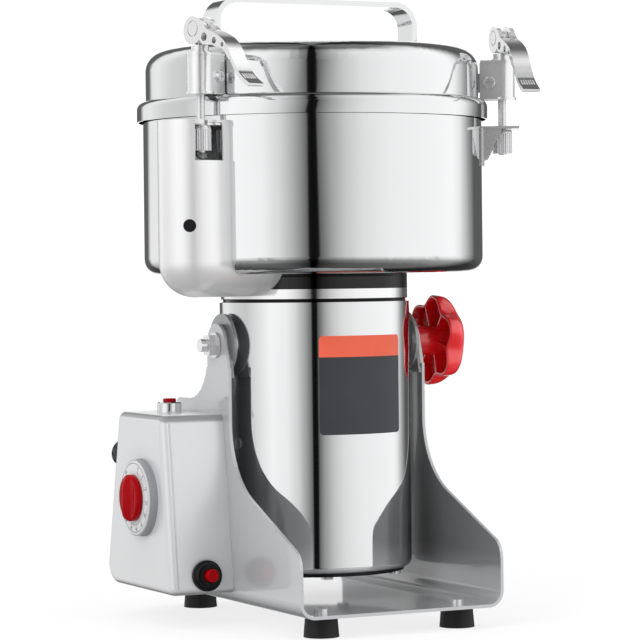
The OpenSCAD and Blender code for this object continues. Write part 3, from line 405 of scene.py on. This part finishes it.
look = {
    "stand_frame": "paint", "control_box": "box", "switch_cover": "cover",
    "rubber_feet": "rubber", "stand_screws": "zinc", "trunnion_bushes": "nylon", "timer_body": "grey",
    "timer_dial": "dial", "cord_gland": "black", "breaker_body": "black", "button_bezel": "mirror",
    "timer_knob": "red", "reset_button": "red", "push_button": "red",
    "motor_housing": "mirror", "motor_cap": "black", "cap_screws": "zinc", "stator_core": "core",
    "field_coils": "copper", "bearing_brackets": "cast", "motor_bearings": "zinc", "brush_holders": "brass",
    "carbon_brushes": "carbon", "trunnions": "zinc", "rating_plate": "label", "neck_collar": "neck",
    "grinding_bowl": "mirror", "bowl_ears": "polished", "shaft_seal": "rubber", "cover_plug": "black",
    "lid_switch": "black", "tilt_knob": "red", "motor_shaft": "steel", "armature_core": "core", "commutator": "copper",
    "cooling_fan": "fan", "lower_blade": "steel", "upper_blade": "steel", "blade_spacers": "steel", "blade_nut": "steel",
    "lid_shell": "mirror", "lid_liner": "steel", "lid_gasket": "silicone", "lid_handle": "mirror", "lid_screws": "zinc",
    "clamp_blocks": "polished", "collar_a": "polished", "collar_b": "polished", "collar_c": "polished",
    "rod_a": "zinc", "rod_b": "zinc", "rod_c": "zinc", "lever_a": "lever", "lever_b": "lever", "lever_c": "lever",
    "nut_a": "zinc", "nut_b": "zinc", "nut_c": "zinc",
}
bevels = {
    "stand_frame": 0.0004, "switch_cover": 0.0004, "timer_dial": 0.0006, "lid_handle": 0.0014,
    "clamp_blocks": 0.0004, "lever_a": 0.0007, "lever_b": 0.0007, "lever_c": 0.0007, "bowl_ears": 0.0003,
    "tilt_knob": 0.0012, "timer_knob": 0.0012, "button_bezel": 0.0003, "breaker_body": 0.0005, "reset_button": 0.0005,
    "push_button": 0.0005, "rubber_feet": 0.0008, "motor_housing": 0.0003,
    "neck_collar": 0.0004, "trunnions": 0.0003, "nut_a": 0.0002, "nut_b": 0.0002, "nut_c": 0.0002, "collar_a": 0.0003,
    "collar_b": 0.0003, "collar_c": 0.0003, "lid_screws": 0.0002, "stand_screws": 0.0002, "cord_gland": 0.0003,
    "lower_blade": 0.0004, "upper_blade": 0.0004, "blade_nut": 0.0003, "grinding_bowl": 0.0003, "lid_shell": 0.0003,
    "motor_cap": 0.0004, "cap_screws": 0.0002, "lid_gasket": 0.0006, "trunnion_bushes": 0.0003,
}


def paint_node(name, mat):
    o = N[name]
    if not o.material_slots:
        o.data.materials.append(mat)
    for s in o.material_slots:
        s.material = mat


def smooth(o, angle=35):
    for p in o.data.polygons:
        p.use_smooth = True
    o.data.set_sharp_from_angle(angle=math.radians(angle))


for n, k in look.items():
    paint_node(n, M[k])
    o = N[n]
    smooth(o, 32)
    w = bevels.get(n, 0.0002)
    bv = o.modifiers.new("bevel", 'BEVEL')
    bv.width = w
    bv.segments = 3 if w >= 0.0006 else 2
    bv.limit_method = 'ANGLE'
    bv.angle_limit = math.radians(40)
    bv.harden_normals = False
    wn = o.modifiers.new("wn", 'WEIGHTED_NORMAL')
    wn.keep_sharp = True


# ------------------------------------------------------------------ pieces made here
def make(name, verts, faces, mat, body, sharp=35, crease=None):
    me = bpy.data.meshes.new(name)
    me.from_pydata([tuple(v) for v in verts], [], faces)
    me.validate()
    bm = bmesh.new()
    bm.from_mesh(me)
    bmesh.ops.remove_doubles(bm, verts=bm.verts, dist=1e-7)
    bmesh.ops.recalc_face_normals(bm, faces=bm.faces)
    bm.to_mesh(me)
    bm.free()
    me.materials.append(mat)
    o = bpy.data.objects.new(name, me)
    bpy.context.scene.collection.objects.link(o)
    smooth(o, sharp)
    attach(o, body)
    return o


def loft(rings, closed_ends=(True, True), loop=True):
    """Faces between rings of equal length; the ends are closed with one face each."""
    n = len(rings[0])
    verts = [v for r in rings for v in r]
    faces = []
    for k in range(len(rings) - 1):
        for i in range(n if loop else n - 1):
            j = (i + 1) % n
            faces.append((k * n + i, k * n + j, (k + 1) * n + j, (k + 1) * n + i))
    if closed_ends[0]:
        faces.append(tuple(range(n))[::-1])
    if closed_ends[1]:
        faces.append(tuple((len(rings) - 1) * n + i for i in range(n)))
    return verts, faces


def arc2(cx, cy, r, a0, a1, n):
    return [(cx + r * math.cos(math.radians(a0 + (a1 - a0) * k / n)), cy + r * math.sin(math.radians(a0 + (a1 - a0) * k / n))) for k in range(n + 1)]


# control box: drawn shell with a rounded front edge
BX1, BZ0, BZ1 = 110.5, 20.0, 130.5


def bfront(z):
    return -23.5 + 12.5 * (z - 20) / 111.5


def bback(z):
    return 83 - 22 * (z - 20) / 111.5


def box_ring(x, o, gx=0.0, gy=0.0):
    """Outline of the box at x, shrunk by o; gx and gy press the front edge in for the fold lines beside its corner."""
    e_ = max(0.0, o - 4.2)                  # past the smallest corner the outline shrinks with constant corners
    a = arc2(bfront(BZ0) + 5.2 + e_, BZ0 + 5 + e_, 5 - o + e_, 186, 270, 8)
    b = arc2(bback(BZ0) - 15.2 - e_, BZ0 + 14 + e_, 14 - o + e_, 270, 349, 14) + arc2(bback(BZ1) - 5.5 - e_, BZ1 - 6 - e_, 6 - o + e_, 11, 90, 8)
    c = arc2(bfront(BZ1) + 6.8 + e_, BZ1 - 6 - e_, 6 - o + e_, 90, 174, 8)
    wt = [max(0.0, 1 - k / 4) for k in range(len(a))] + [0.0] * len(b) + [max(0.0, 1 - (len(c) - 1 - k) / 4) for k in range(len(c))]
    return [mm(x + gx * w, y + gy * w, z) for (y, z), w in zip(a + b + c, wt)]


R = 4.0
rings = [box_ring(-69.05, 0.0), box_ring(-80, 0.0), box_ring(-BX1 + R + 2.0, 0.0), box_ring(-BX1 + R + 1.3, 0.0, 0, 0.10), box_ring(-BX1 + R + 0.75, 0.0, 0, 0.42),
         box_ring(-BX1 + R + 0.2, 0.0, 0, 0.10), box_ring(-BX1 + R, 0.0)]
for k in range(1, 9):
    t = math.radians(90 * k / 8)
    rings.append(box_ring(-BX1 + R * (1 - math.sin(t)), R * (1 - math.cos(t))))
rings += [box_ring(-BX1, R + 0.2, 0.10), box_ring(-BX1, R + 0.75, 0.42), box_ring(-BX1, R + 1.3, 0.10), box_ring(-BX1, R + 2.0)]
v, f = loft(rings, (True, True))
box_o = make("box_shell", v, f, M["box"], "stand", 50)
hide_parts("control_box")

# timer knob: round skirt, domed front with a tapering finger ridge and a shallow hollow on each side of it
KX, KY, KZ = -116.8, 21.5, 78.2


def knob_top(y, z):
    r = math.hypot(y, z)
    q = min(1.0, r / 14.6)
    c, s_ = math.cos(math.radians(6)), math.sin(math.radians(6))
    w, l = y * c + z * s_, -y * s_ + z * c
    half = 5.4 * (1 - 0.45 * max(0.0, l / 14.6))
    ridge = 3.0 * max(0.0, 1 - (abs(w) / half) ** 2) ** 1.3 * max(0.0, 1 - (abs(l) / 14.2) ** 6)
    hollow = -0.7 * math.exp(-((abs(w) - 8.2) / 2.4) ** 2) * (1 - q ** 4)
    return 4.6 + ridge + hollow - 0.5 * q ** 3


rings = [[mm(KX, KY, KZ)] * 72]
rings = []
na = 72


def kn(rad, h):
    return [mm(KX - h, KY + rad * math.cos(2 * math.pi * k / na), KZ + rad * math.sin(2 * math.pi * k / na)) for k in range(na)]


rings.append(kn(8.2, 0.0))
rings.append(kn(14.3, 0.0))
rings.append(kn(14.6, 0.3))
rings.append(kn(14.6, 3.2))
for rad, drop in ((14.48, 0.75), (14.1, 0.30), (13.5, 0.08)):
    rings.append([mm(KX - (knob_top(rad * math.cos(2 * math.pi * k / na), rad * math.sin(2 * math.pi * k / na)) - drop),
                     KY + rad * math.cos(2 * math.pi * k / na), KZ + rad * math.sin(2 * math.pi * k / na)) for k in range(na)])
for m_ in range(26, 0, -1):
    rad = 13.0 * m_ / 26
    rings.append([mm(KX - knob_top(rad * math.cos(2 * math.pi * k / na), rad * math.sin(2 * math.pi * k / na)),
                     KY + rad * math.cos(2 * math.pi * k / na), KZ + rad * math.sin(2 * math.pi * k / na)) for k in range(na)])
v, f = loft(rings, (True, True))
tk = make("timer_cap", v, f, M["red"], "timer_knob", 60)
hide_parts("timer_knob")

# dial: minute ticks and plain numbers, printed on the raised face
DX = -116.4
ticks_v, ticks_f = [], []


def bar(cx, cy, ang, l, w, x0, x1):
    """A flat bar lying on the dial, pointing away from its middle."""
    ca, sa = math.cos(ang), math.sin(ang)
    base = len(ticks_v)
    for x in (x0, x1):
        for a_, b_ in ((-l / 2, -w / 2), (l / 2, -w / 2), (l / 2, w / 2), (-l / 2, w / 2)):
            ticks_v.append(mm(x, KY + cx + a_ * ca - b_ * sa, KZ + cy + a_ * sa + b_ * ca))
    for q in ((3, 2, 1, 0), (4, 5, 6, 7), (0, 1, 5, 4), (1, 2, 6, 5), (2, 3, 7, 6), (3, 0, 4, 7)):
        ticks_f.append(tuple(base + i for i in q))


for k in range(61):
    a = math.radians(90 + 20 + k * 5.0)
    big_ = k % 5 == 0
    l = 1.9 if big_ else 1.1
    rr = 16.2 + l / 2
    bar(rr * math.cos(a), rr * math.sin(a), a, l, 0.34 if big_ else 0.2, DX - 0.05, DX + 0.1)
make("dial_ticks", ticks_v, ticks_f, M["ink"], "stand", 30)
for k, num in enumerate(range(0, 65, 5)):
    a = math.radians(90 + 20 + k * 25.0)
    cu = bpy.data.curves.new("num_%d" % num, 'FONT')
    cu.body = str(num)
    cu.size = 0.0028
    cu.align_x, cu.align_y = 'CENTER', 'CENTER'
    cu.extrude = 0.00004
    t = bpy.data.objects.new("numc_%d" % num, cu)
    bpy.context.scene.collection.objects.link(t)
    # the number stands on the dial's face (normal -X), its foot toward the middle
    rad = 19.7
    pos = mm(DX - 0.03, KY + rad * math.cos(a), KZ + rad * math.sin(a))
    upv = Vector((0, math.cos(a), math.sin(a)))
    nv = Vector((-1, 0, 0))
    rv = upv.cross(nv)
    t.matrix_world = Matrix.Translation(pos) @ Matrix((rv, upv, nv)).transposed().to_4x4()
    bpy.context.view_layer.update()
    me = bpy.data.meshes.new_from_object(t)
    me.transform(t.matrix_world)
    bpy.data.objects.remove(t)
    bpy.data.curves.remove(cu)
    me.materials.clear()
    me.materials.append(M["ink"])
    o = bpy.data.objects.new("dial_number_%d" % num, me)
    bpy.context.scene.collection.objects.link(o)
    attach(o, "stand")

# tilt lock knob: lobed rim, deep hollow back with thin ribs, domed front
SX, SZ = 83.0, 173.0
ns = 144


def star(th, depth):
    """Radius of the lobed outline; depth 1 at the rim, 0 where the lobes have died out in the dome."""
    c_ = 0.5 - 0.5 * math.cos(6 * (th - math.radians(12)))
    return 29.6 - 5.4 * depth * c_ ** 1.25


def star_ring(x, scale, depth, inset=0.0):
    # the knob's own angle runs from -Z toward Y, as the CAD's rotated frame does
    out = []
    for k in range(ns):
        th = 2 * math.pi * k / ns
        r_ = star(th, depth) * scale - inset
        out.append(mm(x, r_ * math.sin(th), SZ - r_ * math.cos(th)))
    return out


rings = [star_ring(92.4, 0.30, 0.0, 0.0), star_ring(92.4, 0.94, 1.0, 4.6), star_ring(91.6, 1.0, 1.0, 3.6), star_ring(90.0, 1.0, 1.0, 2.9),
         star_ring(83.5, 1.0, 1.0, 2.3), star_ring(83.1, 1.0, 1.0, 1.9), star_ring(82.95, 1.0, 1.0, 1.2), star_ring(83.1, 1.0, 1.0, 0.5),
         star_ring(83.5, 1.0, 1.0, 0.1), star_ring(84.4, 1.0, 1.0, 0.0), star_ring(87.0, 0.995, 0.96), star_ring(89.6, 0.98, 0.86),
         star_ring(91.6, 0.955, 0.72), star_ring(93.4, 0.915, 0.55), star_ring(95.0, 0.855, 0.38), star_ring(96.4, 0.77, 0.22),
         star_ring(97.4, 0.66, 0.10), star_ring(98.0, 0.52, 0.03), star_ring(98.3, 0.36, 0.0), star_ring(98.4, 0.18, 0.0)]
v, f = loft(rings, (True, True))
sk = make("star_cap", v, f, M["red_gloss"], "tilt_knob", 70)
# hub with collar and stud
rings = []
for x, r_ in ((54.5, 3.0), (54.5 + 0.5, 3.5), (69.2, 3.5), (69.2, 10.7), (69.5, 11.0), (70.1, 11.0), (70.4, 10.7), (70.4, 9.3), (71.0, 9.5), (82, 9.5), (92.6, 10.4)):
    rings.append([mm(x, r_ * math.cos(2 * math.pi * k / 48), SZ + r_ * math.sin(2 * math.pi * k / 48)) for k in range(48)])
v, f = loft(rings, (True, True))
hub = make("star_hub", v, f, M["red_gloss"], "tilt_knob", 40)
rv_, rf_ = [], []
for k in range(6):
    th = math.radians(12 + 30 + 60 * k)
    for s_ in (0,):
        base = len(rv_)
        dy, dz = math.sin(th), -math.cos(th)
        ty, tz = math.cos(th), math.sin(th)
        for r_, x0 in ((9.0, 84.6), (22.3, 83.9)):
            for w_ in (-0.7, 0.7):
                for x in (x0, 92.6):
                    rv_.append(mm(x, r_ * dy + w_ * ty, SZ + r_ * dz + w_ * tz))
        # order: (r0,w-,x0),(r0,w-,x1),(r0,w+,x0),(r0,w+,x1),(r1,...)
        for q in ((0, 1, 3, 2), (4, 6, 7, 5), (0, 2, 6, 4), (1, 5, 7, 3), (0, 4, 5, 1), (2, 3, 7, 6)):
            rf_.append(tuple(base + i for i in q))
ribs = make("star_ribs", rv_, rf_, M["red_gloss"], "tilt_knob", 30)
bv = ribs.modifiers.new("bevel", 'BEVEL')
bv.width = 0.00035
bv.segments = 2
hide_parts("tilt_knob")

# rating film with rounded corners
LR = 60.3
la0, la1, lz0, lz1, lc = -90 - 23.9, -90 - 23.9 + 57, 117.6, 178.6, 2.6
arc_len = math.radians(57) * LR


def label_outline():
    pts = []
    for cx, cy, a0 in ((arc_len - lc, lz1 - lc, 0), (lc, lz1 - lc, 90), (lc, lz0 + lc, 180), (arc_len - lc, lz0 + lc, 270)):
        for k in range(9):
            a = math.radians(a0 + 90 * k / 8)
            pts.append((cx + lc * math.cos(a), cy + lc * math.sin(a)))
    return pts


lv, lf = [], []
nu, nz = 48, 2


def zlim(u):
    """How far the rounded corner cuts into the height at this place along the arc."""
    d = min(u, arc_len - u)
    return 0.0 if d >= lc else lc - math.sqrt(max(0.0, lc * lc - (lc - d) ** 2))


us = [lc * (1 - math.cos(math.radians(90 * k / 8))) for k in range(9)]
us = us + [lc + (arc_len - 2 * lc) * k / 40 for k in range(1, 40)] + [arc_len - u for u in us[::-1]]
for rad in (LR + 0.02, LR + 0.32):
    for u in us:
        th = math.radians(la0) + u / LR
        c_ = zlim(u)
        for z in (lz0 + c_, lz1 - c_):
            lv.append(mm(rad * math.cos(th), rad * math.sin(th), z))
n_ = len(us)
for k in range(n_ - 1):
    a_, b_ = 2 * k, 2 * (k + 1)
    lf.append((a_, a_ + 1, b_ + 1, b_))
    o_ = 2 * n_
    lf.append((o_ + a_, o_ + b_, o_ + b_ + 1, o_ + a_ + 1))
    lf.append((a_, b_, o_ + b_, o_ + a_))
    lf.append((a_ + 1, o_ + a_ + 1, o_ + b_ + 1, b_ + 1))
lf.append((0, 2 * n_, 2 * n_ + 1, 1))
lf.append((2 * (n_ - 1), 2 * (n_ - 1) + 1, 4 * n_ - 1, 4 * n_ - 2))
lab = make("rating_film", lv, lf, M["label"], "motor_unit", 30)
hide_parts("rating_plate")

# threads on the clamp rods
clamp_dir = {"a": -150, "b": -30, "c": 90}
clamp_turn = {"a": -15.3, "b": -159.8, "c": 0}
PCD, PIN = 120.4, 364.3
for key, ang in clamp_dir.items():
    cx, cy = PCD * math.cos(math.radians(ang)), PCD * math.sin(math.radians(ang))
    rings = []
    z = 306.6
    while z < 325.0:
        for dz, r_ in ((0.0, 2.505), (0.28, 2.60), (0.42, 2.60), (0.70, 2.505)):
            rings.append([mm(cx + r_ * math.cos(2 * math.pi * k / 40), cy + r_ * math.sin(2 * math.pi * k / 40), z + dz) for k in range(40)])
        z += 0.9
    v, f = loft(rings, (False, False))
    make("thread_" + key, v, f, M["zinc"], "rod_" + key, 25)

# grip ridges at the lever tips
for key, ang in clamp_dir.items():
    cx, cy = PCD * math.cos(math.radians(ang)), PCD * math.sin(math.radians(ang))
    ya = math.radians(ang + clamp_turn[key])
    ex = Vector((math.cos(ya), math.sin(ya), 0))      # across the lever
    ey = Vector((-math.sin(ya), math.cos(ya), 0))     # the way the lever points
    ez = Vector((0, 0, 1))
    p0, p1 = (43.6, -28.9), (48.6, -33.0)
    tv = (ey * (p1[0] - p0[0]) + ez * (p1[1] - p0[1])).normalized()
    nv = ex.cross(tv)
    if nv.z < 0:
        nv = -nv
    org = mm(cx, cy, PIN)
    rv_, rf_ = [], []
    for k in range(6):
        xc = -3.9 + 1.56 * k
        base = len(rv_)
        for s_, hw, hh in ((0.0, 0.25, -0.2), (0.7, 0.42, 0.28), (2.6, 0.46, 0.42), (4.6, 0.42, 0.30), (5.6, 0.22, -0.2)):
            c_ = org + (ey * p0[0] + ez * p0[1] + tv * s_) / 1000
            for a_ in range(8):
                th = math.pi * a_ / 7
                rv_.append(c_ + (ex * (xc + hw * math.cos(th)) + nv * (-0.25 + (hh + 0.25) * math.sin(th))) / 1000)
        for j in range(4):
            for a_ in range(7):
                q = base + j * 8 + a_
                rf_.append((q, q + 1, q + 9, q + 8))
        rf_.append(tuple(base + a_ for a_ in range(8)))
        rf_.append(tuple(base + 32 + a_ for a_ in range(8))[::-1])
    make("grip_" + key, rv_, rf_, M["polished"], "lever_" + key, 60)


# ------------------------------------------------------------------ stage and light
def plane(name, size, loc, rot, mat):
    me = bpy.data.meshes.new(name)
    sx, sy = size[0] / 2, size[1] / 2
    me.from_pydata([(-sx, -sy, 0), (sx, -sy, 0), (sx, sy, 0), (-sx, sy, 0)], [], [(0, 1, 2, 3)])
    o = bpy.data.objects.new(name, me)
    bpy.context.scene.collection.objects.link(o)
    o.location, o.rotation_euler = loc, rot
    me.materials.append(mat)
    return o


fm, fnt, fb = new_mat("floor")
fb.inputs["Base Color"].default_value = (0.90, 0.90, 0.90, 1)
fb.inputs["Roughness"].default_value = 0.7
fb.inputs["Specular IOR Level"].default_value = 0.1
fe = node(fnt, "ShaderNodeEmission")
fe.inputs["Color"].default_value = (1, 1, 1, 1)
fe.inputs["Strength"].default_value = 1.0
fc = node(fnt, "ShaderNodeTexCoord")
fl = node(fnt, "ShaderNodeVectorMath", operation='LENGTH')
fnt.links.new(fc.outputs["Object"], fl.inputs[0])
fr = node(fnt, "ShaderNodeMapRange", interpolation_type='SMOOTHSTEP')
fr.inputs["From Min"].default_value = 0.18
fr.inputs["From Max"].default_value = 0.55
fr.inputs["To Min"].default_value = 0.78
fnt.links.new(fl.outputs["Value"], fr.inputs["Value"])
fx = node(fnt, "ShaderNodeMixShader")
fnt.links.new(fr.outputs["Result"], fx.inputs["Fac"])
fnt.links.new(fb.outputs["BSDF"], fx.inputs[1])
fnt.links.new(fe.outputs["Emission"], fx.inputs[2])
fnt.links.new(fx.outputs["Shader"], fnt.nodes["Material Output"].inputs["Surface"])
floor = plane("floor", (14, 14), (0, 0, -0.0002), (0, 0, 0), fm)
floor.visible_glossy = False

# A round white studio: a black flag in front, grey falling off to white at the sides, dark flags behind on both sides,
# dark above and below, so that the polished steel shows crisp bands. The camera itself sees plain white.
world = bpy.data.worlds.new("world")
bpy.context.scene.world = world
world.use_nodes = True
wnt = world.node_tree
bg = wnt.nodes["Background"]
wt = node(wnt, "ShaderNodeTexCoord")
wr = node(wnt, "ShaderNodeMapping", vector_type='POINT')
wr.inputs["Rotation"].default_value = (0, 0, psi)
wnt.links.new(wt.outputs["Generated"], wr.inputs["Vector"])
ws = node(wnt, "ShaderNodeSeparateXYZ")
wnt.links.new(wr.outputs["Vector"], ws.inputs["Vector"])


def wmath(op, a, b=None):
    n = node(wnt, "ShaderNodeMath", operation=op)
    for k, v in enumerate((a, b)):
        if v is None:
            continue
        if isinstance(v, (int, float)):
            n.inputs[k].default_value = v
        else:
            wnt.links.new(v, n.inputs[k])
    return n.outputs[0]


az_s = wmath('DIVIDE', wmath('ARCTAN2', ws.outputs["X"], wmath('MULTIPLY', ws.outputs["Y"], -1.0)), math.pi)
az = wmath('ABSOLUTE', az_s)
el = wmath('DIVIDE', wmath('ARCSINE', ws.outputs["Z"]), math.pi / 2)


def wramp(fac, stops):
    r = node(wnt, "ShaderNodeValToRGB")
    e = r.color_ramp.elements
    e[0].position, e[0].color = stops[0][0], (*[stops[0][1]] * 3, 1)
    e[1].position, e[1].color = stops[-1][0], (*[stops[-1][1]] * 3, 1)
    for p, c in stops[1:-1]:
        x = e.new(p)
        x.color = (c, c, c, 1)
    wnt.links.new(fac, r.inputs["Fac"])
    return r.outputs["Color"]


side = wramp(az, [(0.0, 0.004), (0.0155, 0.006), (0.021, 0.12), (0.062, 0.34), (0.12, 0.60), (0.19, 0.78), (0.30, 0.90),
                  (0.60, 1.0), (0.65, 0.86), (0.72, 0.36), (0.78, 0.10), (0.93, 0.10), (0.96, 1.0)])
left = wramp(az, [(0.0, 0.004), (0.0155, 0.006), (0.021, 0.14), (0.062, 0.38), (0.12, 0.70), (0.19, 0.92), (0.30, 0.98),
                  (0.50, 0.60), (0.62, 0.66), (0.73, 0.84), (0.80, 0.80), (0.84, 0.12), (0.93, 0.10), (0.96, 1.0)])
over = wramp(el, [(0.0, 1.0), (0.46, 1.0), (0.60, 0.80), (0.72, 0.22), (1.0, 0.15)])
under = wramp(wmath('MULTIPLY', el, -1.0), [(0.0, 1.0), (0.06, 0.96), (0.24, 0.34), (0.5, 0.14), (1.0, 0.06)])
w1 = node(wnt, "ShaderNodeMix", data_type='RGBA', blend_type='MULTIPLY')
w1.inputs["Factor"].default_value = 1.0
wlr = node(wnt, "ShaderNodeMix", data_type='RGBA')
wnt.links.new(wmath('LESS_THAN', az_s, 0.0), wlr.inputs["Factor"])
wnt.links.new(side, wlr.inputs["A"])
wnt.links.new(left, wlr.inputs["B"])
wnt.links.new(wlr.outputs["Result"], w1.inputs["A"])
wnt.links.new(over, w1.inputs["B"])
w2 = node(wnt, "ShaderNodeMix", data_type='RGBA', blend_type='MULTIPLY')
w2.inputs["Factor"].default_value = 1.0
wnt.links.new(w1.outputs["Result"], w2.inputs["A"])
wnt.links.new(under, w2.inputs["B"])
lp = node(wnt, "ShaderNodeLightPath")
w3 = node(wnt, "ShaderNodeMix", data_type='RGBA')
wnt.links.new(lp.outputs["Is Camera Ray"], w3.inputs["Factor"])
wnt.links.new(w2.outputs["Result"], w3.inputs["A"])
w3.inputs["B"].default_value = (1, 1, 1, 1)
wnt.links.new(w3.outputs["Result"], bg.inputs["Color"])
bg.inputs["Strength"].default_value = 1.14


def area(name, loc, target, size, power, color=(1, 1, 1), glossy=False):
    l = bpy.data.lights.new(name, 'AREA')
    l.shape = 'RECTANGLE'
    l.size, l.size_y = size
    l.energy = power
    l.color = color
    o = bpy.data.objects.new(name, l)
    bpy.context.scene.collection.objects.link(o)
    o.location = loc
    d = Vector(target) - Vector(loc)
    o.rotation_euler = d.to_track_quat('-Z', 'Y').to_euler()
    o.visible_glossy = glossy
    return o


area("key", (-1.5, -0.9, 1.2), (0, 0, 0.15), (1.0, 1.2), 16)
area("fill", (1.2, -1.6, 0.9), (0, 0, 0.15), (1.2, 1.2), 9)
area("top", (0.0, 0.1, 1.8), (0, 0, 0.1), (1.6, 1.6), 22)

scene = bpy.context.scene
scene.view_settings.view_transform = 'Standard'
scene.view_settings.look = 'None'
